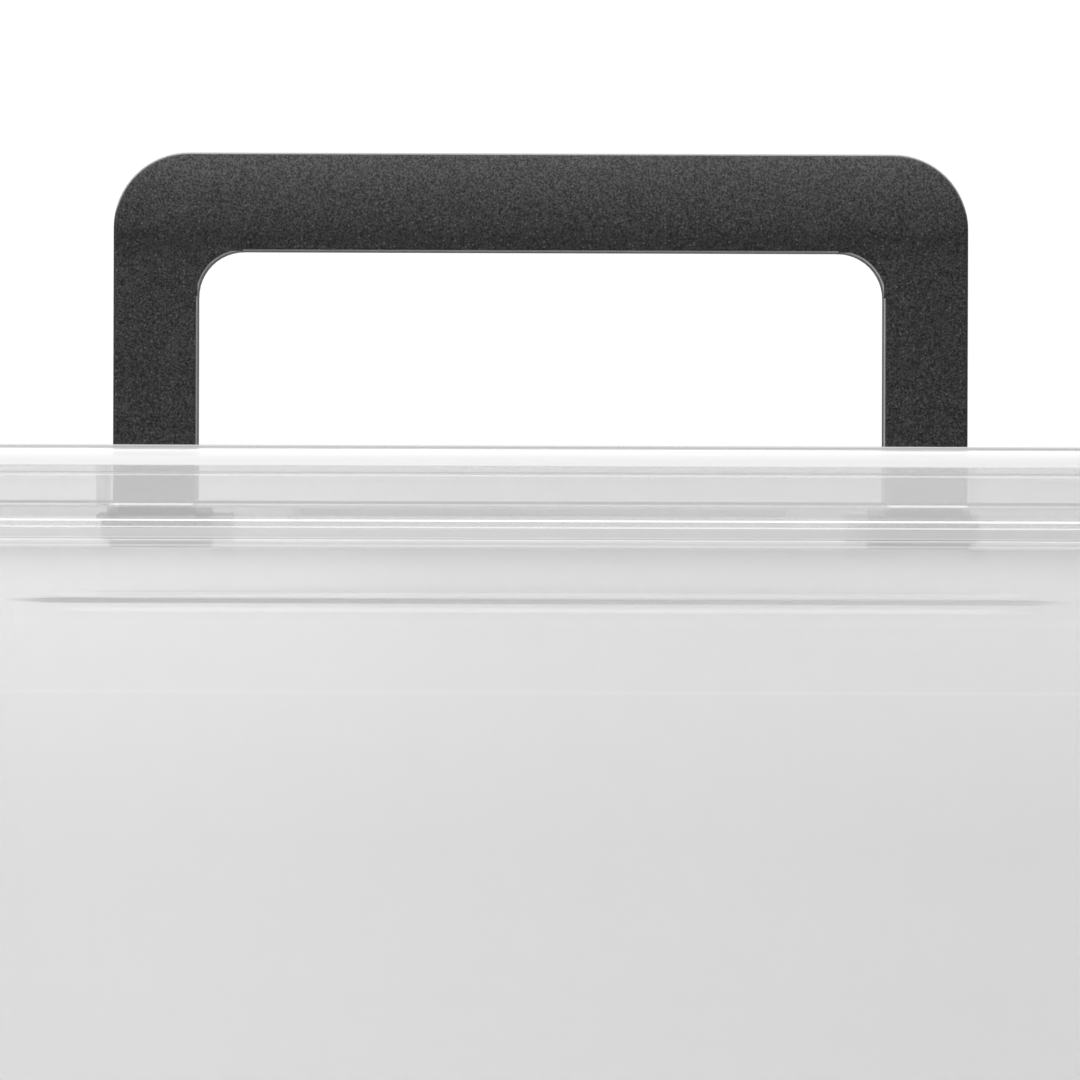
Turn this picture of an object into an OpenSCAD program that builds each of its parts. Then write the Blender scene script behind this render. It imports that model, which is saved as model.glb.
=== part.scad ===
// Portable file box for letter-size hanging folders: a drafted tub, a lid with a recessed tray,
// a folding U handle and a latch at each end.
// Millimetres. The origin is the middle of the base on the ground, Z up, X along the length, front at -Y.

/* [Box] */
// Height of the lid's rim above the ground
box_h = 282; // [279:1:330]
// Length over the lid's lip
lid_l = 345; // [340:1:380]
// Depth over the lid's lip
lid_w = 180; // [160:1:300]
// Corner radius of the lid's lip
corner_r = 24; // [22:1:34]

/* [Body] */
// Wall thickness of the tub
wall = 2.2; // [1.6:0.1:2.6]
// Draft of the tub's walls, in degrees
draft = 1; // [0.4:0.1:1.4]
// Thickness of the floor
floor_t = 2.2; // [1.6:0.1:3]
// Height of the foot ring under the floor
foot_h = 3; // [2:0.5:4]
// Outside fillet between the walls and the floor
base_r = 5; // [3:0.5:6]
// Thickness of the flange below the lid's lip
flange_t = 1.5; // [1:0.1:2]
// Open gap between that flange and the lid's lip
flange_gap = 1.6; // [0.8:0.1:2]
// Distance between the middles of the two folder rails
rail_span = 310; // [308:0.5:312]
// Height of the rails above their ledge
rail_h = 3.8; // [2.5:0.1:5]
// Length of each rail
rail_l = 124; // [90:1:130]
// From the top of the lid's rim down to the top of the rails
rail_drop = 32; // [30:0.5:34]
// Step of the walls at the height of the ledges
ledge_step = 0.15; // [0.1:0.05:0.4]
// From the top of the lid's rim down to the crease over the bowed panel
crease_drop = 22.5; // [19:0.5:25]
// Width of the bowed panel at the crease
bow_w = 153.5; // [120:0.5:180]
// How far the panel bows out in its middle
bow_s = 1.2; // [0.6:0.1:1.8]

/* [Lid] */
// Wall thickness of the lid's rim
lid_t = 1.6; // [1.2:0.1:2]
// Height of the skirt with its lip
skirt_h = 12.1; // [11.5:0.1:14]
// Outside fillet along the top of the skirt
skirt_r = 2.3; // [1.8:0.1:3]
// How far the lip stands out from the skirt
lip_out = 1.6; // [1:0.1:2.2]
// Thickness of the lip
lip_t = 1.4; // [1:0.1:1.8]
// Width of the raised rim
rim_w = 8.4; // [8:0.1:12]
// Thickness of the tray's panel
panel_t = 1.5; // [1.2:0.1:1.8]
// Depth of the finger recess under the folded bar
recess_d = 1.4; // [0.8:0.1:1.8]
// Length of the finger recess
recess_l = 79; // [60:1:90]

/* [Handle] */
// Width over the two legs
handle_w = 132; // [120:1:150]
// Height of the upright handle above the lid's rim
handle_rise = 46; // [40:1:54]
// Height of the bar
bar_h = 15.2; // [13:0.1:17]
// Width of each leg
leg_w = 13; // [11.5:0.1:14]
// Thickness from front to back
handle_t = 8; // [7:0.1:8]
// Outer radius of the two corners
turn_out_r = 11.6; // [9:0.1:14]
// Inner radius of the two corners
turn_in_r = 7; // [5:0.1:8]
// Rounding of the long edges
edge_r = 0.6; // [0.3:0.1:1]
// Diameter of the hinge barrels
hub_d = 6.4; // [5.6:0.1:6.5]
// Diameter of the stub axles
axle_d = 4.4; // [3.6:0.1:4.6]

/* [Latches] */
// Width of a latch plate
latch_w = 56; // [44:1:70]
// Thickness of a latch plate
latch_t = 2.4; // [2:0.1:2.8]
// Height of the latch's pins below the lid's rim
pin_drop = 34.5; // [33:0.5:36]
// Diameter of the pins
pin_d = 3.8; // [3:0.1:4.2]
// How far the lid's catches stand out from the skirt
catch_out = 3.7; // [3:0.1:4]

/* [Hidden] */
$fn = 64;

bite = 1;            // how far joined shapes reach into each other
fit_gap = 0.06;      // radial play of an axle in its bore
face_gap = 0.2;      // side play between a hub and the walls beside it
rest_gap = 0.3;      // space between a resting face and its seat
rim_gap = 0.6;       // space between the tub's rim and the lid's skirt
hook_gap = 0.4;      // space between a closed hook and its catch
flange_in = 0.4;     // how far the tub's flange stays inside the lid's lip
hub_sink = 0.1;      // how far the handle's barrels lie below the panel

// corner centres shared by the lid and the tub's rim
mid_x = lid_l / 2 - corner_r;
mid_y = lid_w / 2 - corner_r;

// radii about those centres, from the lip inwards
lip_rad = corner_r;
skirt_rad = lip_rad - lip_out;
skirt_in_rad = skirt_rad - lid_t;
rim_rad = skirt_in_rad - rim_gap;
flange_rad = lip_rad - flange_in;
tray_rad = skirt_rad - rim_w;

// the finger recess in the tray, under the middle of the folded bar
recess_side = 18;    // how much wider than the bar it is
recess_r = 5;

// heights of the lid
tray_depth = handle_t + rest_gap + face_gap;
panel_z = box_h - tray_depth;
panel_low = panel_z - panel_t;
lip_z = box_h - skirt_h;

// heights of the tub
rim_z = box_h - lid_t - face_gap;
flange_z = lip_z - flange_gap - flange_t;
crease_z = box_h - crease_drop;
rail_z = box_h - rail_drop;
ledge_z = rail_z - rail_h;
ledge_low = ledge_z - wall;
floor_z = foot_h + floor_t;

// the lower part of the tub: its ends step in below the ledges, so its end walls carry the rails
taper = tan(draft);
function tub_rad(z) = rim_rad - taper * max(crease_z - z, 0);
function low_rad(z) = tub_rad(z) - ledge_step;
low_x = rail_span / 2 + wall / 2 - low_rad(ledge_z);
foot_in = 0.5;       // step from the base fillet in to the foot ring
foot_t = 2.4;        // thickness of the foot ring
foot_rib_t = 1.6;    // thickness of the ribs under the floor
foot_rad = low_rad(foot_h) - base_r - foot_in;

// the bowed panel: a very large cone whose bow dies out above the base fillet
bow_r = bow_w * bow_w / (8 * bow_s) + bow_s / 2;
bow_foot = 12;       // height above the base fillet at which the bow dies out
crease_h = 1.2;      // height of the short slope over the crease
bow_low = foot_h + base_r + bow_foot;
bow_sink = ledge_step + 0.05;

// the handle's hinge: its axis lies below the panel and behind the legs, so it folds flat
leg_x = handle_w / 2 - leg_w;
hub_in = 1.9;        // how far a barrel reaches past its leg, inwards and outwards
hub_out = 0.9;
cheek_t = 1.4;       // outer bearing wall: thickness, side margin, distance below the rim, corners
cheek_side = 0.6;
cheek_drop = 1;
cheek_r = 3;
boss_t = 3.4;        // inner bearing boss: thickness, wall round the bore, width of its foot
boss_wall = 2.4;
boss_foot = 2;
neck_w = 3.2;        // neck between a leg and its barrel: thickness, length, step at its sides
neck_l = 8;
neck_side = 0.5;
neck_gap = 0.4;      // space between the swinging neck and the ends of its slot
hub_in_x = leg_x - hub_in;
hub_out_x = handle_w / 2 + hub_out;
cheek_x = hub_out_x + face_gap;
boss_x = hub_in_x - face_gap;
boss_r = axle_d / 2 + boss_wall;
axis_y = handle_t / 2 + hub_d / 2 + rest_gap + hub_sink;
axis_z = panel_z - hub_d / 2 - hub_sink;
handle_z = box_h + handle_rise;
heel_z = panel_z + rest_gap;
slot_y = hub_d / 2 + hub_sink + neck_w / sqrt(2) + neck_gap;

// the latches: a plate over a barrel, with a hook that reaches over the lid's catch
pin_out = 5.7;       // how far the pins lie outside the lid's lip
barrel_r = 3.2;      // radius of the barrel and how far it reaches past the plate
barrel_side = 1.2;
ear_t = 2.8;         // bearing ear: thickness, and how much wider it is than the barrel
ear_rim = 1.2;
catch_w = 40;        // widths of the lid's catch and of the hook over it
hook_w = 36;
hook_reach = 12;     // depth of the block that the hook is cut from
nose_gap = 0.7;      // hook's nose: distance from the skirt, and its chamfer
nose_cut = 1.5;
latch_drop = 3.5;    // top of the latch below the rim, corners of its plate, ribs behind it
latch_r = 5;
latch_rib_t = 1.4;
latch_rib_h = 2;
pull_h = 7;          // pull lip at the top: height, reach, thickness, and the bend in its face
pull_out = 4.6;
pull_t = 1.8;
pull_bend = [1.4, 3.2];
pin_x = lid_l / 2 + pin_out;
pin_z = box_h - pin_drop;
barrel_l = latch_w + 2 * barrel_side;
ear_y = barrel_l / 2 + face_gap;
latch_top = pin_drop - latch_drop;
latch_back = latch_t * 3 / 4;

// A plate with rounded corners whose corner centres stand at hx, hy
module rounded_plate(hx, hy, r, t) {
    linear_extrude(t) {
        square([2 * hx, 2 * (hy + r)], center = true);
        square([2 * (hx + r), 2 * hy], center = true);
        for (sx = [-1, 1], sy = [-1, 1])
            translate([sx * hx, sy * hy]) circle(r = r);
    }
}

// Carries a profile (x outwards from the corner centres, y up) round the whole outline
module around(hx, hy) {
    for (a = [0, 1], b = [0, 1])
        mirror([a, 0, 0]) mirror([0, b, 0])
            translate([hx, hy, 0]) rotate_extrude(angle = 90) children();
    for (b = [0, 1])
        mirror([0, b, 0])
            translate([-hx, hy, 0]) rotate([90, 0, 90]) linear_extrude(2 * hx) children();
    for (a = [0, 1])
        mirror([a, 0, 0])
            translate([hx, hy, 0]) rotate([90, 0, 0]) linear_extrude(2 * hy) children();
}

// The same profile (drawn from x = 0) round the outline and over the middle, from z1 up to z2
module filled(hx, hy, z1, z2) {
    around(hx, hy) children();
    rotate([90, 0, 0])
        linear_extrude(2 * hy, center = true)
            polygon([[-hx, z1], [hx, z1], [hx, z2], [-hx, z2]]);
}

// A drafted tub shape, filled, with a fillet of radius f at its foot
module tub_shape(inset, z1, z2, f) {
    r1 = low_rad(z1) - inset;
    r2 = low_rad(z2) - inset;
    rc = r1 + f * taper - f / cos(draft);
    filled(low_x, mid_y, z1, z2) {
        polygon([
            [0, z1], [rc, z1], [rc, z1 + f],
            [rc + f * cos(draft), z1 + f - f * sin(draft)],
            [r2, z2], [0, z2]
        ]);
        translate([rc, z1 + f]) circle(r = f);
    }
}

// The bowed panels of the two long walls, filled, with a short slope at the crease
module bow_shape(inset) {
    h = crease_z - bow_low;
    r = bow_r - inset;
    foot_s = taper * h + bow_s + bow_sink;
    for (b = [0, 1])
        mirror([0, b, 0])
            intersection() {
                translate([0, bow_r - mid_y - rim_rad - bow_s, bow_low]) {
                    cylinder(r1 = r - foot_s, r2 = r, h = h, $fn = 1440);
                    translate([0, 0, h]) cylinder(r1 = r, r2 = r - 2 * bow_s, h = 2 * crease_h, $fn = 1440);
                }
                translate([-bow_w / 2 - bite, -mid_y - lip_rad, bow_low])
                    cube([bow_w + 2 * bite, lip_rad, crease_z + 2 * crease_h - bow_low]);
            }
}

// A rounded bar section of width w and thickness t
module bar_section(w, t, e) {
    square([w - 2 * e, t], center = true);
    square([w, t - 2 * e], center = true);
    for (sx = [-1, 1], sy = [-1, 1])
        translate([sx * (w / 2 - e), sy * (t / 2 - e)]) circle(r = e);
}

// The same section with only its far side rounded, from x = 0 to x = w
module half_section(w, t, e) {
    translate([0, -t / 2]) square([w - e, t]);
    translate([0, e - t / 2]) square([w, t - 2 * e]);
    for (sy = [-1, 1])
        translate([w - e, sy * (t / 2 - e)]) circle(r = e);
}

module body_walls() {
    difference() {
        union() {
            filled(mid_x, mid_y, ledge_low, rim_z)
                polygon([
                    [0, ledge_low], [tub_rad(ledge_low), ledge_low], [rim_rad, crease_z],
                    [rim_rad, rim_z], [0, rim_z]
                ]);
            tub_shape(0, foot_h, ledge_z, base_r);
            bow_shape(0);
            around(mid_x, mid_y) {
                translate([rim_rad - bite, flange_z])
                    square([flange_rad - flange_t / 2 - rim_rad + bite, flange_t]);
                translate([flange_rad - flange_t / 2, flange_z + flange_t / 2]) circle(r = flange_t / 2);
            }
        }
        filled(mid_x, mid_y, ledge_z, rim_z + bite)
            polygon([
                [0, ledge_z], [tub_rad(ledge_z) - wall, ledge_z], [rim_rad - wall, crease_z],
                [rim_rad - wall, rim_z + bite], [0, rim_z + bite]
            ]);
        tub_shape(wall, floor_z, ledge_z, base_r - wall / 2);
        bow_shape(wall);
    }
}

// One folder rail: the end wall carried up past its ledge, with a round top
module rail() {
    x1 = low_x + low_rad(ledge_z) - wall;
    translate([x1, -rail_l / 2, ledge_z - bite]) cube([wall, rail_l, rail_h + bite - wall / 2]);
    translate([x1 + wall / 2, 0, rail_z - wall / 2])
        rotate([90, 0, 0]) cylinder(d = wall, h = rail_l, center = true);
}

// One bearing ear for a latch, standing out from the end wall
module ear() {
    root = mid_x + tub_rad(pin_z) - wall / 2;
    ear_r = barrel_r + ear_rim;
    rotate([90, 0, 0])
        linear_extrude(ear_t, center = true)
            difference() {
                union() {
                    polygon([
                        [root, pin_z - barrel_r], [pin_x, pin_z - ear_r],
                        [pin_x + ear_r / sqrt(2), pin_z + ear_r / sqrt(2)],
                        [root, pin_z + pin_x - root + ear_r * sqrt(2)]
                    ]);
                    translate([pin_x, pin_z]) circle(r = ear_r);
                }
                translate([pin_x, pin_z]) circle(d = pin_d + 2 * fit_gap);
            }
}

module body() {
    color([0.88, 0.91, 0.93, 0.55]) {
        body_walls();
        for (a = [0, 1])
            mirror([a, 0, 0]) {
                rail();
                for (s = [-1, 1])
                    translate([0, s * (ear_y + ear_t / 2), 0]) ear();
            }
        around(low_x, mid_y)
            translate([foot_rad - foot_t, 0]) square([foot_t, foot_h + bite]);
        for (k = [-1, 0, 1])
            translate([k * low_x / 2 - foot_rib_t / 2, -mid_y - foot_rad + foot_t / 2, foot_h / 2])
                cube([foot_rib_t, 2 * (mid_y + foot_rad) - foot_t, foot_h / 2 + bite]);
        for (k = [-1, 1])
            translate([-low_x - foot_rad + foot_t / 2, k * mid_y / 2 - foot_rib_t / 2, foot_h / 2])
                cube([2 * (low_x + foot_rad) - foot_t, foot_rib_t, foot_h / 2 + bite]);
    }
}

// Section of the raised rim: skirt, top, tray wall and lip
module rim_section() {
    tray_f = 1.4;
    foot_f = 2;
    difference() {
        union() {
            translate([tray_rad, panel_low]) square([rim_w, tray_depth + panel_t - skirt_r]);
            translate([tray_rad, panel_low]) square([rim_w - skirt_r, tray_depth + panel_t - tray_f]);
            translate([tray_rad + tray_f, panel_low])
                square([rim_w - skirt_r - tray_f, tray_depth + panel_t]);
            translate([skirt_rad - skirt_r, box_h - skirt_r]) circle(r = skirt_r);
            translate([tray_rad + tray_f, box_h - tray_f]) circle(r = tray_f);
            translate([skirt_in_rad, lip_z]) square([lid_t, skirt_h - skirt_r]);
            translate([skirt_in_rad, lip_z]) square([lid_t + lip_out - lip_t / 2, lip_t]);
            translate([lip_rad - lip_t / 2, lip_z + lip_t / 2]) circle(r = lip_t / 2);
        }
        channel_section();
    }
    difference() {
        translate([tray_rad - foot_f, panel_z - panel_t / 2])
            square([foot_f + lid_t / 2, foot_f + panel_t / 2]);
        translate([tray_rad - foot_f, panel_z + foot_f]) circle(r = foot_f);
    }
}

// The channel under the rim, which drops over the tub's edge
module channel_section() {
    f = 0.7;
    x1 = tray_rad + lid_t;
    top = box_h - lid_t;
    translate([x1, lip_z - bite]) square([skirt_in_rad - x1, top - f - lip_z + bite]);
    translate([x1 + f, lip_z - bite]) square([skirt_in_rad - x1 - 2 * f, top - lip_z + bite]);
    for (x = [x1 + f, skirt_in_rad - f])
        translate([x, top - f]) circle(r = f);
}

// Outer bearing wall of the handle's hinge, standing above and below the panel
module cheek() {
    y1 = -handle_t / 2 - cheek_side;
    y2 = axis_y + boss_r + cheek_side;
    z1 = axis_z - boss_r;
    z2 = box_h - cheek_drop;
    r = cheek_r;
    translate([cheek_x, 0, 0])
        rotate([90, 0, 90])
            linear_extrude(cheek_t) {
                translate([y1, z1 + r]) square([y2 - y1, z2 - z1 - 2 * r]);
                translate([y1 + r, z1]) square([y2 - y1 - 2 * r, z2 - z1]);
                for (y = [y1 + r, y2 - r], z = [z1 + r, z2 - r])
                    translate([y, z]) circle(r = r);
            }
}

// Inner bearing boss of the hinge, on a foot under the panel
module boss() {
    translate([boss_x - boss_t, axis_y, axis_z])
        rotate([90, 0, 90]) linear_extrude(boss_t) {
            circle(r = boss_r);
            translate([-boss_r - boss_foot, 0])
                square([2 * (boss_r + boss_foot), panel_z - panel_t / 2 - axis_z]);
        }
}

// Catch on the lid's end, with the 45 degree face that the hook draws down
module catch_bead() {
    x1 = mid_x + skirt_rad;
    rotate([90, 0, 0])
        linear_extrude(catch_w, center = true)
            polygon([
                [x1 - lid_t / 2, lip_z], [x1 + catch_out, lip_z], [x1 + catch_out, lip_z + lip_t],
                [x1, lip_z + lip_t + catch_out], [x1 - lid_t / 2, lip_z + lip_t + catch_out]
            ]);
}

// Stiffening ribs under the panel
module panel_ribs() {
    rib_t = 1.4;
    rib_h = 3.4;
    rib_side = 2;
    half_x = mid_x + tray_rad + lid_t / 2;
    half_y = mid_y + tray_rad + lid_t / 2;
    for (s = [-1, 1])
        translate([-half_x, axis_y + s * (slot_y + rib_side) - rib_t / 2, panel_low - rib_h])
            cube([2 * half_x, rib_t, rib_h + panel_t / 2]);
    for (x = [-1, 1] * (cheek_x + (half_x - cheek_x) / 2))
        translate([x - rib_t / 2, -half_y, panel_low - rib_h])
            cube([rib_t, 2 * half_y, rib_h + panel_t / 2]);
}

module lid() {
    recess_y = axis_y + handle_z - axis_z - bar_h / 2;
    recess_w = bar_h + recess_side;
    recess_x = recess_l / 2 - recess_r;
    bore_l = cheek_x + cheek_t - boss_x + boss_t + 2 * bite;
    color([0.9, 0.93, 0.95, 0.5])
        difference() {
            union() {
                around(mid_x, mid_y) rim_section();
                translate([0, 0, panel_low]) rounded_plate(mid_x, mid_y, tray_rad + lid_t / 2, panel_t);
                translate([0, recess_y, panel_low - recess_d])
                    rounded_plate(recess_x, recess_w / 2 - recess_r, recess_r + panel_t, panel_t);
                panel_ribs();
                for (a = [0, 1])
                    mirror([a, 0, 0]) {
                        cheek();
                        boss();
                        catch_bead();
                    }
            }
            translate([0, recess_y, panel_z - recess_d])
                rounded_plate(recess_x, recess_w / 2 - recess_r, recess_r, recess_d + bite);
            for (a = [0, 1])
                mirror([a, 0, 0]) {
                    translate([boss_x, axis_y - slot_y, axis_z - boss_r - bite])
                        cube([cheek_x - boss_x, 2 * slot_y, panel_z + bite - axis_z + boss_r + bite]);
                    translate([boss_x - boss_t - bite, axis_y, axis_z])
                        rotate([0, 90, 0])
                            cylinder(d = axle_d + 2 * fit_gap, h = bore_l);
                }
        }
}

// One half of the U, from the middle of the bar to the foot of the leg
module half_loop() {
    ox = handle_w / 2 - turn_out_r;
    oz = handle_z - turn_out_r;
    ix = leg_x - turn_in_r;
    iz = handle_z - bar_h - turn_in_r;
    ring_t = turn_in_r * 0.5;
    translate([leg_x + leg_w / 2, 0, heel_z])
        linear_extrude(iz - heel_z) bar_section(leg_w, handle_t, edge_r);
    translate([ox, 0, iz])
        linear_extrude(oz - iz) half_section(turn_out_r, handle_t, edge_r);
    translate([ox, 0, oz])
        rotate([90, 0, 0]) rotate_extrude(angle = 90) half_section(turn_out_r, handle_t, edge_r);
    translate([0, 0, handle_z - bar_h / 2])
        rotate([90, 90, 90]) linear_extrude(ix) bar_section(bar_h, handle_t, edge_r);
    translate([ix, 0, oz])
        rotate([90, -90, 90]) linear_extrude(ox - ix) half_section(turn_out_r, handle_t, edge_r);
    translate([ix, 0, iz])
        rotate([90, 0, 0]) rotate_extrude(angle = 90)
            translate([turn_in_r + ring_t, 0]) mirror([1, 0]) half_section(ring_t, handle_t, edge_r);
    translate([leg_x, -handle_t / 2, iz]) cube([ox - leg_x + edge_r, handle_t, oz - iz]);
    translate([ix, -handle_t / 2, handle_z - bar_h]) cube([ox - ix, handle_t, bar_h - turn_out_r + edge_r]);
}

// The pockets that core out the back of the handle, with ribs left between them
module pocket_section() {
    skin = 1.8;
    rib = 1.3;
    bar_ribs = 4;
    leg_ribs = 2;
    ox = handle_w / 2 - turn_out_r;
    oz = handle_z - turn_out_r;
    low = heel_z + leg_w;
    difference() {
        union() {
            translate([-ox, handle_z - bar_h + skin]) square([2 * ox, bar_h - 2 * skin]);
            for (s = [-1, 1]) {
                translate([s * (leg_x + leg_w / 2) - (leg_w / 2 - skin), low])
                    square([leg_w - 2 * skin, oz - low]);
                intersection() {
                    translate([s * ox, oz]) circle(r = turn_out_r - skin);
                    translate([s * (ox + turn_out_r / 2) - turn_out_r / 2, oz]) square(turn_out_r);
                }
            }
        }
        for (k = [-bar_ribs : bar_ribs])
            translate([k * leg_x / bar_ribs - rib / 2, handle_z - bar_h]) square([rib, bar_h]);
        for (s = [-1, 1], k = [1 : leg_ribs])
            translate([s * (leg_x + leg_w / 2) - leg_w / 2, low + k * (oz - low) / (leg_ribs + 1) - rib / 2])
                square([leg_w, rib]);
    }
}

// Barrel, neck and stub axles at the foot of one leg
module hinge_foot() {
    translate([0, axis_y, axis_z]) rotate([90, 0, 90]) {
        translate([0, 0, hub_in_x]) cylinder(d = hub_d, h = hub_out_x - hub_in_x);
        translate([0, 0, boss_x - boss_t + rest_gap])
            cylinder(d = axle_d, h = cheek_x + cheek_t - boss_x + boss_t - 2 * rest_gap);
        translate([0, 0, leg_x + neck_side])
            linear_extrude(leg_w - 2 * neck_side)
                rotate(45) translate([-neck_w / 2, 0]) square([neck_w, neck_l]);
    }
}

module handle() {
    front_skin = 2;
    color([0.2, 0.2, 0.215]) {
        difference() {
            for (a = [0, 1]) mirror([a, 0, 0]) half_loop();
            translate([0, handle_t / 2 + bite, 0])
                rotate([90, 0, 0]) linear_extrude(handle_t - front_skin + bite) pocket_section();
        }
        for (a = [0, 1]) mirror([a, 0, 0]) hinge_foot();
    }
}

// Section of a latch about its pin: plate, hook with a 45 degree face, and the pull lip
module latch_section() {
    back = -latch_back;
    front = latch_t - latch_back;
    catch_u = mid_x + skirt_rad + catch_out - pin_x;
    slope = catch_u + lip_z + lip_t - pin_z + hook_gap * sqrt(2);
    nose = mid_x + skirt_rad + nose_gap - pin_x;
    polygon([
        [back, 0], [front, 0], [front, latch_top - pull_h],
        [front + pull_bend[0], latch_top - pull_bend[1]], [front + pull_out, latch_top - pull_t],
        [front + pull_out, latch_top], [nose + nose_cut, latch_top], [nose, latch_top - nose_cut],
        [nose, slope - nose], [back, slope - back]
    ]);
    translate([front + pull_out, latch_top - pull_t / 2]) circle(d = pull_t);
}

module latch_right() {
    color([0.2, 0.2, 0.215])
        difference() {
            union() {
                intersection() {
                    translate([pin_x, 0, pin_z])
                        rotate([90, 0, 0]) linear_extrude(latch_w, center = true) latch_section();
                    translate([pin_x - hook_reach, 0, pin_z + latch_top / 2]) rotate([90, 0, 90])
                        rounded_plate(latch_w / 2 - latch_r, latch_top / 2 - latch_r, latch_r, 2 * hook_reach);
                }
                translate([pin_x, 0, pin_z]) rotate([90, 0, 0]) {
                    cylinder(r = barrel_r, h = barrel_l, center = true);
                    cylinder(d = pin_d, h = barrel_l + 2 * (face_gap + ear_t - rest_gap), center = true);
                }
                for (s = [-1, 0, 1])
                    translate([pin_x - latch_back - latch_rib_h, s * hook_w * 0.4 - latch_rib_t / 2, pin_z])
                        cube([latch_rib_h + latch_t / 2, latch_rib_t, lip_z - flange_gap - pin_z]);
            }
            for (y = [-latch_w / 2 - bite, hook_w / 2])
                translate([pin_x - latch_back - hook_reach, y, lip_z - flange_gap])
                    cube([hook_reach, (latch_w - hook_w) / 2 + bite, pin_drop]);
        }
}

module latch_left() {
    mirror([1, 0, 0]) latch_right();
}

body();
lid();
handle();
latch_left();
latch_right();
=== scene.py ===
import math

import bpy
from mathutils import Matrix, Vector


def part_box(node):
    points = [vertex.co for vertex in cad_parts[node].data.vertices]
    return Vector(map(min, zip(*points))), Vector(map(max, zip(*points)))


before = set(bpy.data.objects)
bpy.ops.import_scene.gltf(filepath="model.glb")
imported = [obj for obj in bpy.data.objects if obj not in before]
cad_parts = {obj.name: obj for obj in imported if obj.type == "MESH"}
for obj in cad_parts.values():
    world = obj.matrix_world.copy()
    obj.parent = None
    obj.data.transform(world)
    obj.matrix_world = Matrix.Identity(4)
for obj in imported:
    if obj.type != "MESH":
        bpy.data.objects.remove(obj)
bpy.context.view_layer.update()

scene = bpy.context.scene
mm = 0.001
plasticIOR = 1.49
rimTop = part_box("lid")[1].z
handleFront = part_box("handle")[0].y

# plan of the lid, in mm: the same values as in the CAD source
plan = {
    "length": 345,
    "depth": 180,
    "corner": 24,
    "legs": 62,           # from the middle to a leg of the handle
}
midX = plan["length"] / 2 - plan["corner"]
midY = plan["depth"] / 2 - plan["corner"]
print("frame loaded:", len(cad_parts), "pieces, rim at", round(rimTop / mm, 1), "mm")


class Value:
    # one number in a node tree; sums written on it add Math nodes
    def __init__(self, tree, socket):
        self.tree = tree
        self.socket = socket

    def sum(self, operation, first, second=None):
        made = self.tree.nodes.new("ShaderNodeMath")
        made.operation = operation
        feed(self.tree, made.inputs[0], first)
        if second is not None:
            feed(self.tree, made.inputs[1], second)
        return Value(self.tree, made.outputs[0])

    def __add__(self, other):
        return self.sum("ADD", self, other)

    def __radd__(self, other):
        return self.sum("ADD", other, self)

    def __sub__(self, other):
        return self.sum("SUBTRACT", self, other)

    def __rsub__(self, other):
        return self.sum("SUBTRACT", other, self)

    def __mul__(self, other):
        return self.sum("MULTIPLY", self, other)

    def __rmul__(self, other):
        return self.sum("MULTIPLY", other, self)

    def __truediv__(self, other):
        return self.sum("DIVIDE", self, other)

    def __rtruediv__(self, other):
        return self.sum("DIVIDE", other, self)

    def __pow__(self, other):
        return self.sum("POWER", self, other)

    def __neg__(self):
        return self.sum("MULTIPLY", self, -1)

    def __abs__(self):
        return self.sum("ABSOLUTE", self)

    def least(self, other):
        return self.sum("MINIMUM", self, other)

    def most(self, other):
        return self.sum("MAXIMUM", self, other)


def feed(tree, place, value):
    # a link or a plain value into a socket
    if isinstance(value, Value):
        tree.links.new(value.socket, place)
    elif isinstance(value, bpy.types.NodeSocket):
        tree.links.new(value, place)
    else:
        place.default_value = value


def grey(tone):
    return (tone, tone, tone, 1)


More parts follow.
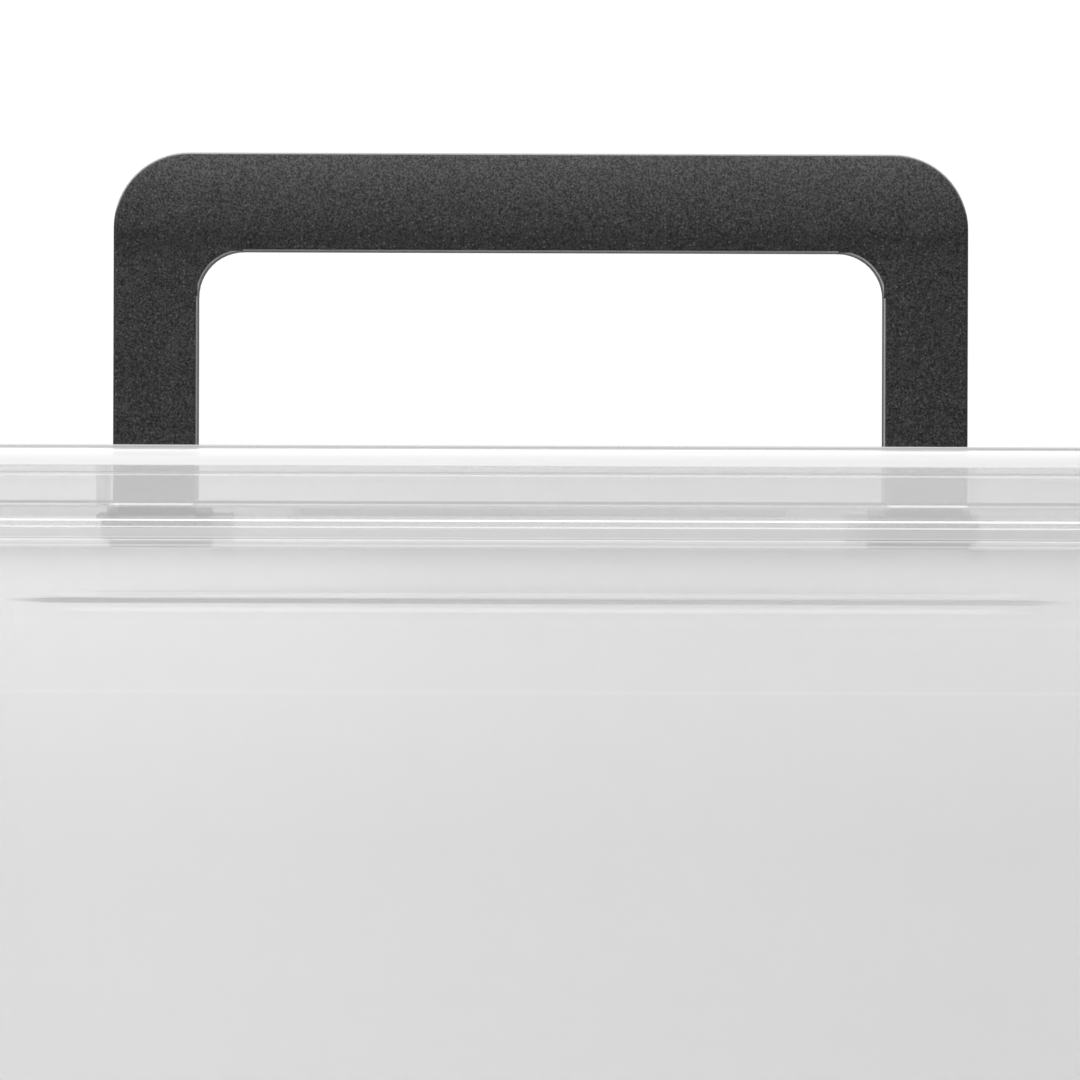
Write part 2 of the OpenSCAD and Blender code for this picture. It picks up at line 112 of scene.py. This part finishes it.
class Recipe:
    # a material in the making: its nodes, the grey laid so far and how dense the clear plastic is
    def __init__(self, name):
        self.material = bpy.data.materials.new(name)
        self.material.use_nodes = True
        self.tree = self.material.node_tree
        self.tree.nodes.clear()
        self.shade = grey(0)
        self.density = 1.0
        self.where = self.add("ShaderNodeTexCoord").outputs["Object"]
        self.x, self.y, self.z = self.parts(self.where)
        self.faceX, self.faceY, self.faceZ = self.parts(self.add("ShaderNodeNewGeometry").outputs["Normal"])

    def add(self, kind, settings=None, sockets=None):
        made = self.tree.nodes.new(kind)
        for name, value in (settings or {}).items():
            setattr(made, name, value)
        for name, value in (sockets or {}).items():
            feed(self.tree, made.inputs[name], value)
        return made

    def parts(self, vector):
        made = self.add("ShaderNodeSeparateXYZ", sockets={"Vector": vector})
        return [Value(self.tree, made.outputs[axis]) for axis in "XYZ"]

    def drop(self):
        # mm below the top of the rim
        return (rimTop - self.z) / mm

    def beside(self):
        # mm from the middle, alike to the left and the right
        return abs(self.x) / mm

    def reach(self):
        # mm outwards from the line of the corner centres, alike on sides and corners
        overX = (abs(self.x) / mm - midX).most(0.0)
        overY = (abs(self.y) / mm - midY).most(0.0)
        return (overX * overX + overY * overY) ** 0.5

    def rightward(self):
        # 0 at the left leg of the handle, 1 at the right leg
        return self.spread(self.x / mm, -plan["legs"], plan["legs"], kind="LINEAR")

    def noise(self, size, detail=2.0, rough=0.5, stretch=(1, 1, 1)):
        # size is the width of one patch in metres
        where = self.add("ShaderNodeMapping", sockets={"Vector": self.where, "Scale": stretch}).outputs[0]
        made = self.add("ShaderNodeTexNoise", sockets={
            "Vector": where,
            "Scale": 1 / size,
            "Detail": detail,
            "Roughness": rough,
        })
        return Value(self.tree, made.outputs["Fac"])

    def spread(self, value, low, high, to=(0.0, 1.0), kind="SMOOTHSTEP"):
        made = self.add("ShaderNodeMapRange", {"interpolation_type": kind}, {
            "Value": value,
            "From Min": low,
            "From Max": high,
            "To Min": to[0],
            "To Max": to[1],
        })
        return Value(self.tree, made.outputs["Result"])

    def band(self, value, low, high, soft):
        # 1 between low and high, with soft edges
        return self.spread(value, low - soft, low + soft) * self.spread(value, high + soft, high - soft)

    def greyOf(self, tone, blue=1.0):
        channels = {"Red": tone, "Green": tone, "Blue": tone * blue}
        return self.add("ShaderNodeCombineColor", sockets=channels).outputs[0]

    def blend(self, factor, first, second):
        made = self.add("ShaderNodeMix", {"data_type": "RGBA"}, {
            "Factor": factor,
            "A": first,
            "B": second,
        })
        return made.outputs["Result"]

    def paint(self, mask, tone, show=1.0, dense=0.0):
        # lays a grey mark where the mask is; the plastic can be denser there
        self.shade = self.blend(mask * show, self.shade, grey(tone))
        if dense:
            self.density = self.density + mask * dense

    def bump(self, height, strength, distance):
        made = self.add("ShaderNodeBump", sockets={
            "Strength": strength,
            "Distance": distance,
            "Height": height,
        })
        return made.outputs[0]

    def finish(self, **sockets):
        named = {name.replace("_", " "): value for name, value in sockets.items()}
        named["Base Color"] = self.shade
        made = self.add("ShaderNodeBsdfPrincipled", sockets=named)
        out = self.add("ShaderNodeOutputMaterial")
        self.tree.links.new(made.outputs[0], out.inputs["Surface"])
        return self.material


# A band is its first and last place, in mm below the rim, and the softness of its ends. A mark is
# a grey, how much it shows and how much denser the plastic gets. Where a mask has only two values,
# it starts at the first and is full at the second.
tubLook = {
    "tone": 0.568,                      # grey of the milky plastic
    "density": 0.40,                    # how much of it shows on one face of a wall
    "fade": 0.018,                      # painted shade: how much darker it turns towards the right, away from the key lamp
    "rimTone": 0.68,                    # the same two above the flange, where the lid covers the tub
    "rimDensity": 0.20,
    "rimFrom": (13.5, 13.2),
    "paintedLight": 0.066,                      # painted light: how much paler the wall is just under the flange
    "paintedLightFrom": (62, 18),
    "gap": (12.1, 13.55, 0.08),         # the shaded strip between the lid's lip and the flange
    "gapMark": (0.65, 1.0, 0.40),
    "flow": (0.11, 0.012),              # size and depth of faint flow marks of the moulding
    "flowStretch": (1.0, 1.0, 2.5),
    "streak": (0.05, 0.012),
    "streakStretch": (0.25, 1.0, 9.0),
    "grain": (0.0011, 0.00001),
    "grainBump": 0.2,
    "haze": 0.34,
    "hazeDepth": 0.06,
    "crease": 22.62,
    "creaseHigh": (0.40, 0.13),         # half its height and its softness
    "creaseHalf": (81, 70),             # mm from the middle between which it dies out
    "creaseFront": (0.35, 0.6),         # how far a face looks to the front or back to have it
    "creaseShow": (0.55, 0.35),         # at the left and at the right leg
    "creaseShadeMark": (0.13, 1.0, 0.5),
    "fringes": ((-1.3, -0.65, 0.25), (1.0, 1.6, 0.25)),     # measured from the crease
    "fringeHalf": (73, 62),
    "fringeHighlightMark": (0.80, 0.3, 0.12),
    "flangeOut": (20.9, 21.3),          # reach of the flange's edge
    "flangeFace": (14.1, 15.2, 0.1),
    "flangeFaceMark": (0.38, 0.45),
    "flangeEdge": (13.4, 13.85, 0.12),
    "flangeEdgeMark": (0.70, 1.0, 0.4),
    "flangeLow": (14.45, 14.75, 0.12),
    "flangeLowMark": (0.70, 0.4, 0.2),
    "lip": (1.7, 2.5, 0.1),             # painted highlight on the tub's own top edge, seen when the lid is off
    "lipMark": (0.92, 1.0, 0.3),
    "ledge": (35.55, 36.05, 0.2),       # painted highlights: pale lines where the ledge and the lower wall shine through
    "ledgeMark": (0.7, 0.25),
    "lowWall": (25.3, 26.3, 0.5),
    "lowWallMark": (0.7, 0.125),
}


def tubPlastic():
    look = tubLook
    r = Recipe("hazyTubPlastic")
    drop = r.drop()
    right = r.rightward()
    flowSize, flowDepth = look["flow"]
    streakSize, streakDepth = look["streak"]
    grainSize, grainDepth = look["grain"]
    flow = r.noise(flowSize, detail=3, rough=0.45, stretch=look["flowStretch"])
    streak = r.noise(streakSize, stretch=look["streakStretch"])
    grain = r.noise(grainSize)
    inLid = r.spread(drop, *look["rimFrom"])
    # painted light and shade: paler just under the flange, darker towards the right
    tone = look["tone"] + r.spread(drop, *look["paintedLightFrom"]) * look["paintedLight"] - right * look["fade"]
    tone = tone + inLid * (look["rimTone"] - look["tone"] - look["paintedLight"])
    tone = tone + (flow - 0.5) * flowDepth + (streak - 0.5) * streakDepth
    r.shade = r.greyOf(tone)
    r.density = look["density"] + inLid * (look["rimDensity"] - look["density"])
    r.paint(r.band(drop, *look["gap"]), *look["gapMark"])

    # the crease over the bowed panel: a painted dark line of shade between two painted highlights, dying out
    # at its ends
    along = r.spread(r.beside(), *look["creaseHalf"])
    onWall = r.spread(abs(r.faceY), *look["creaseFront"])
    line = look["crease"]
    high, soft = look["creaseHigh"]
    creaseShade = r.band(drop, line - high * along, line + high * along, soft) * onWall * along
    creaseShade = creaseShade * r.spread(right, 0, 1, to=look["creaseShow"], kind="LINEAR")
    above, below = [r.band(drop, line + low, line + top, fade) for low, top, fade in look["fringes"]]
    fringeHighlight = (above + below) * onWall * r.spread(r.beside(), *look["fringeHalf"])
    r.paint(fringeHighlight, *look["fringeHighlightMark"])
    r.paint(creaseShade, *look["creaseShadeMark"])

    # the flange under the lid's lip: a darker face, a painted highlight on its top edge and a fainter one
    # below
    onFlange = r.spread(r.reach(), *look["flangeOut"])
    for place in ("flangeFace", "flangeEdge", "flangeLow"):
        r.paint(r.band(drop, *look[place]) * onFlange, *look[place + "Mark"])
    # painted highlights on the tub's top edge and where the ledge and the lower wall shine through
    for place in ("lip", "ledge", "lowWall"):
        r.paint(r.band(drop, *look[place]), *look[place + "Mark"])
    return r.finish(
        Roughness=look["haze"] + (grain - 0.5) * look["hazeDepth"],
        Alpha=r.density,
        Normal=r.bump(grain, look["grainBump"], grainDepth),
        IOR=plasticIOR,
    )


lidLook = {
    "tone": 0.632,
    "density": 0.172,
    "pale": 0.03,                       # how much paler and denser it turns towards the right
    "thicken": 0.075,
    "flow": (0.09, 0.02),
    "flowStretch": (1.0, 1.0, 3.0),
    "grain": (0.0009, 0.000008),
    "grainBump": 0.25,
    "haze": 0.24,
    "hazeDepth": 0.05,
    "skirtOut": (20.0, 20.3),           # reach of the skirt
    "skirtFace": (21.6, 21.9),
    "round": (0.995, 0.985),            # how far a face looks up to be flat or round
    "lit": (0.5, 0.2),                  # the back has no bright edge, because the light comes from the front
    "rimHighlight": (0.70, 3.0, 0.14),          # painted highlight on the rim's round edge, where the plastic is also denser
    "rimHighlightMark": (0.605, 1.0, 0.7),
    "top": (0.24, 0.10),                # painted shade on the very top of the rim
    "topMark": (0.40, 1.0, 0.6),
    "line": (0.18, 0.60, 0.12),         # painted dark line of shade below it
    "lineMark": (0.192, 1.0, 0.75),
    # a thin dark line around the skirt, with a pale line just below it
    "thinDarkLine": (3.9, 4.1, 0.12),
    "thinDarkLineMark": (0.12, 0.5, 0.35),
    "thinPaleLine": (4.3, 4.5, 0.12),
    "thinPaleLineMark": (0.90, 0.35, 0.2),
    "tray": ((16.0, 15.8), (11.6, 12.0)),   # reach at which the tray's wall ends and begins
    "foot": (8.1, 8.56, 0.15),          # dark line at the foot of the tray's wall
    "footMark": (0.12, 1.0, 0.6),
    "panelEdge": (9.15, 10.4, 0.12),    # the panel seen on edge through the skirt
    "panelEdgeShow": (0.95, 0.6),       # at the left, and how much less at the right
    "panelEdgeMark": (0.24, 1.0),
    "seat": (8.52, 8.86, 0.08),         # painted glint on the skirt in front of each leg, where light shows between the leg and the panel
    "seatSpan": (50, 62, 0.8),
    "seatMark": (0.90, 1.0, 0.25),
    "lipOut": (22.5, 22.6),             # reach of the lip
    "lipFace": (11.2, 11.7, 0.1),       # the lip's darker face between its two painted highlights
    "lipFaceMark": (0.3, 0.4, 0.1),
    # painted highlights on the lip's top and lower edges
    "lipTop": (10.85, 11.08, 0.1),
    "lipTopMark": (0.90, 1.0, 0.5),
    "lipFoot": (11.84, 12.04, 0.08),
    "lipFootMark": (0.90, 1.0, 0.5),
    "cheekX": (66.9, 68.7, 0.05),       # cheeks beside the legs, mm from the middle, and from front to back
    "cheekY": (-5, 17, 0.3),
    "cheekFoot": (10.8, 10.4),
    "cheekShow": (1.5, 1.2),            # at the left, and how much less at the right
    "recessX": (0, 40.8, 0.1),          # the finger recess
    "recessY": (39, 76, 0.3),
    "recess": (8.7, 11.6, 0.1),
    "recessShow": 0.8,
    "thickMost": 1.5,                   # where both meet
    "thickAndShadeMark": (0.24, 0.55, 0.32),
}


def lidPlastic():
    look = lidLook
    r = Recipe("hazyLidPlastic")
    drop = r.drop()
    reach = r.reach()
    right = r.rightward()
    flowSize, flowDepth = look["flow"]
    grainSize, grainDepth = look["grain"]
    flow = r.noise(flowSize, detail=3, rough=0.45, stretch=look["flowStretch"])
    grain = r.noise(grainSize)
    r.shade = r.greyOf(look["tone"] + right * look["pale"] + (flow - 0.5) * flowDepth)
    r.density = look["density"] + right * look["thicken"]

    # round edge of the rim: painted shade on its top and in a dark line, and a wide painted highlight on the
    # sides that face the light
    outer = r.spread(reach, *look["skirtOut"])
    rounded = outer * r.spread(r.faceZ, *look["round"])
    onRimHighlight = r.band(drop, *look["rimHighlight"]) * outer * r.spread(r.faceY, *look["lit"])
    r.paint(onRimHighlight, *look["rimHighlightMark"])
    r.paint(r.spread(drop, *look["top"]) * rounded, *look["topMark"])
    r.paint(r.band(drop, *look["line"]) * rounded, *look["lineMark"])
    # the thin dark line around the skirt and the pale line just below it
    for place in ("thinDarkLine", "thinPaleLine"):
        r.paint(r.band(drop, *look[place]) * outer, *look[place + "Mark"])

    # what shows through the skirt: the foot of the tray's wall and the panel's edge, and a painted glint in
    # front of the seat of each leg
    wallEnd, wallStart = look["tray"]
    atTray = r.spread(reach, *wallEnd) * r.spread(reach, *wallStart)
    onSkirt = r.spread(reach, *look["skirtFace"])
    show, less = look["panelEdgeShow"]
    r.paint(r.band(drop, *look["foot"]) * atTray, *look["footMark"])
    onEdge = r.band(drop, *look["panelEdge"]) * onSkirt * (show - less * right * right)
    r.paint(onEdge, *look["panelEdgeMark"])
    onSeatGlint = r.band(drop, *look["seat"]) * r.band(r.beside(), *look["seatSpan"]) * onSkirt
    r.paint(onSeatGlint, *look["seatMark"])

    # the lip: a darker face between painted highlights on its top and lower edges
    onLip = r.spread(reach, *look["lipOut"])
    for place in ("lipFace", "lipTop", "lipFoot"):
        r.paint(r.band(drop, *look[place]) * onLip, *look[place + "Mark"])

    # cheeks beside the legs and the finger recess are thicker, so they look denser, and are darker with
    # painted shade where less light reaches them
    show, less = look["cheekShow"]
    atCheek = r.band(r.beside(), *look["cheekX"]) * r.band(r.y / mm, *look["cheekY"])
    atCheek = atCheek * r.spread(drop, *look["cheekFoot"]) * (show - less * right)
    atRecess = r.band(r.beside(), *look["recessX"]) * r.band(r.y / mm, *look["recessY"])
    atRecess = atRecess * r.band(drop, *look["recess"]) * look["recessShow"]
    r.paint((atCheek + atRecess).least(look["thickMost"]), *look["thickAndShadeMark"])
    return r.finish(
        Roughness=look["haze"] + (grain - 0.5) * look["hazeDepth"],
        Alpha=r.density.least(1.0),
        Normal=r.bump(grain, look["grainBump"], grainDepth),
        IOR=plasticIOR,
    )


charcoalLook = {
    "tone": 0.0186,
    "topTone": 0.0435,                  # painted light towards the top of the bar
    "lowTone": 0.0138,                  # painted shade along the foot of the bar
    "blue": 1.02,
    "barLight": (31.5, 45.0),           # mm over the rim between which the bar gets paler
    "barFoot": (30.8, 34.2, 1.8),       # painted shade: the dark strip along its foot, also mm over the rim
    "cloud": (0.009, 0.3),              # size and depth of broad patches
    "grain": (0.00030, 0.00005),
    "grainBump": 0.7,
    "grainStep": (0.38, 0.68),          # values of the noise between which a speckle turns light
    "speckle": (0.06, 2.64),            # least light in the grain and how much a speckle adds
    "topSpeckle": (0.9, 1.2),           # the same towards the top of the bar
    "rough": 0.55,
    "roughDepth": 0.25,
    "shine": 0.16,
    "fleckSize": 0.00055,
    "fleckCore": (0.34, 0.14),          # share of its cell that a fleck takes
    "fleckShare": (0.55, 0.85),         # which of the cells have one
    "fleckCool": (0.15, 0.15, 0.19, 1),
    "fleckWarm": (0.18, 0.16, 0.15, 1),
    "fleckShow": 0.42,
    "fleckMetal": 0.4,
    "edgeTone": 0.36,                   # painted highlight on the rounded edges
    "edgeShow": 0.68,
    "edgeGloss": 0.2,
    "edgeTurn": (0.12, 0.78, 0.08),     # how far a rounded face looks to the front or back
    "edgeUp": (0.1, 0.3),
    "edgeDown": (-0.1, -0.3),
    "edgeDownShow": 0.8,
    "edgeIn": (-0.004, -0.014),         # metres from the middle, times how far a face looks outwards
}


def charcoalPlastic():
    look = charcoalLook
    r = Recipe("charcoalPlastic")
    grainSize, grainDepth = look["grain"]
    cloudSize, cloudDepth = look["cloud"]
    grain = r.noise(grainSize, detail=3, rough=0.7)
    cloud = r.noise(cloudSize)
    spots = r.add("ShaderNodeTexVoronoi", {"feature": "F1"}, {
        "Vector": r.where,
        "Scale": 1 / look["fleckSize"],
        "Randomness": 1.0,
    })
    near = Value(r.tree, spots.outputs["Distance"])
    pick = r.add("ShaderNodeSeparateColor", sockets={"Color": spots.outputs["Color"]})
    picked = Value(r.tree, pick.outputs[0])
    tinted = Value(r.tree, pick.outputs[1])
    fleck = r.spread(near, *look["fleckCore"]) * r.spread(picked, *look["fleckShare"])

    # painted light and shade: the bar is palest along its top and darkest along its foot
    rise = -r.drop()
    up = r.spread(rise, *look["barLight"], kind="LINEAR")
    low = r.band(rise, *look["barFoot"])
    speckle = r.spread(grain, *look["grainStep"], kind="LINEAR")
    tone = (look["tone"] - low * (look["tone"] - look["lowTone"])) * (1 - cloudDepth / 2 + cloud * cloudDepth)
    tone = tone * (look["speckle"][0] + speckle * look["speckle"][1])
    paintedLight = up * up * (look["topTone"] - look["tone"])
    tone = tone + paintedLight * (look["topSpeckle"][0] + speckle * look["topSpeckle"][1])
    warmth = r.blend(tinted, look["fleckCool"], look["fleckWarm"])
    r.shade = r.blend(fleck * look["fleckShow"], r.greyOf(tone, look["blue"]), warmth)

    # painted highlight on the rounded edges, which are also glossier: along the top, under the bar and inside
    # the legs
    turned = r.band(abs(r.faceY), *look["edgeTurn"])
    upward = r.spread(r.faceZ, *look["edgeUp"])
    inward = r.spread(r.x * r.faceX, *look["edgeIn"])
    downward = r.spread(r.faceZ, *look["edgeDown"])
    paintedEdgeHighlight = turned * (upward + inward + downward * look["edgeDownShow"]).least(1.0)
    r.paint(paintedEdgeHighlight, look["edgeTone"], look["edgeShow"])
    return r.finish(
        Metallic=fleck * look["fleckMetal"],
        Roughness=look["rough"] + (grain - 0.5) * look["roughDepth"] - paintedEdgeHighlight * look["edgeGloss"],
        Normal=r.bump(grain, look["grainBump"], grainDepth),
        IOR=plasticIOR,
        Specular_IOR_Level=look["shine"],
    )


def dress(node, material):
    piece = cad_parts[node]
    piece.data.materials.clear()
    piece.data.materials.append(material)


dress("body", tubPlastic())
dress("lid", lidPlastic())
charcoal = charcoalPlastic()
for node in ("handle", "latch_left", "latch_right"):
    dress(node, charcoal)
print("plastics made")


floorLook = {
    "radius": 2.4,
    "corners": 64,
    "tone": 0.82,
    "cloud": (0.5, 0.02),     # size and depth of its pale and dark patches
    "haze": 0.7,
}


def layFloor():
    look = floorLook
    rim = []
    for corner in range(look["corners"]):
        angle = corner * 2 * math.pi / look["corners"]
        rim.append((look["radius"] * math.cos(angle), look["radius"] * math.sin(angle), 0))
    mesh = bpy.data.meshes.new("floor")
    mesh.from_pydata(rim, [], [list(range(len(rim)))])
    floor = bpy.data.objects.new("floor", mesh)
    scene.collection.objects.link(floor)
    r = Recipe("paleFloor")
    size, depth = look["cloud"]
    r.shade = r.blend(r.noise(size), grey(look["tone"] - depth), grey(look["tone"] + depth))
    mesh.materials.append(r.finish(Roughness=look["haze"]))


lamps = {
    # name: place, aim, width, height, watts
    "keySoftbox": ((-0.85, -0.95, 0.80), (0, 0, 0.25), 0.8, 0.8, 12),
    "fillSoftbox": ((1.6, -1.1, 0.8), (0, 0, 0.25), 1.2, 1.2, 4),
    "topSoftbox": ((0.0, 0.1, 1.5), (0, 0, 0.28), 1.4, 0.9, 14),
}


def hangLamp(name, place, aim, width, height, watts):
    light = bpy.data.lights.new(name, "AREA")
    light.shape = "RECTANGLE"
    light.size = width
    light.size_y = height
    light.energy = watts
    lamp = bpy.data.objects.new(name, light)
    lamp.location = place
    lamp.rotation_euler = (Vector(aim) - Vector(place)).to_track_quat("-Z", "Y").to_euler()
    lamp.visible_camera = False
    scene.collection.objects.link(lamp)


studioLook = {
    "white": 1.03,            # the white card that the camera sees
    "room": 0.80,             # light that the rest of the room gives
    "seenThrough": 32,        # see-through faces that one ray may pass
}


def paintWorld():
    world = bpy.data.worlds.new("studio")
    scene.world = world
    world.use_nodes = True
    tree = world.node_tree
    back = tree.nodes["Background"]
    seen = tree.nodes.new("ShaderNodeLightPath")
    level = tree.nodes.new("ShaderNodeMapRange")
    level.inputs["To Min"].default_value = studioLook["room"]
    level.inputs["To Max"].default_value = studioLook["white"]
    tree.links.new(seen.outputs["Is Camera Ray"], level.inputs["Value"])
    tree.links.new(level.outputs["Result"], back.inputs["Strength"])
    back.inputs["Color"].default_value = (1, 1, 1, 1)


layFloor()
for name, facts in lamps.items():
    hangLamp(name, *facts)
paintWorld()


cameraPlan = {
    "away": 1.350,           # from the handle's front face
    "height": 0.2683,        # over the floor
    "seen": 0.16675,         # width of the picture at the handle
    "roll": 0.18,            # degrees
    "sensor": 36.0,
    "far": 20,               # metres to where the view ends
}


def placeCamera():
    lens = bpy.data.cameras.new("camera")
    lens.sensor_width = cameraPlan["sensor"]
    lens.lens = cameraPlan["sensor"] * cameraPlan["away"] / cameraPlan["seen"]
    lens.clip_end = cameraPlan["far"]
    camera = bpy.data.objects.new("camera", lens)
    camera.location = (0, handleFront - cameraPlan["away"], cameraPlan["height"])
    level = Matrix.Rotation(math.radians(90), 4, "X")
    roll = Matrix.Rotation(math.radians(cameraPlan["roll"]), 4, "Z")
    camera.rotation_euler = (level @ roll).to_euler()
    scene.collection.objects.link(camera)
    scene.camera = camera


placeCamera()
scene.view_settings.view_transform = "Standard"
scene.cycles.transparent_max_bounces = studioLook["seenThrough"]
print("studio set")
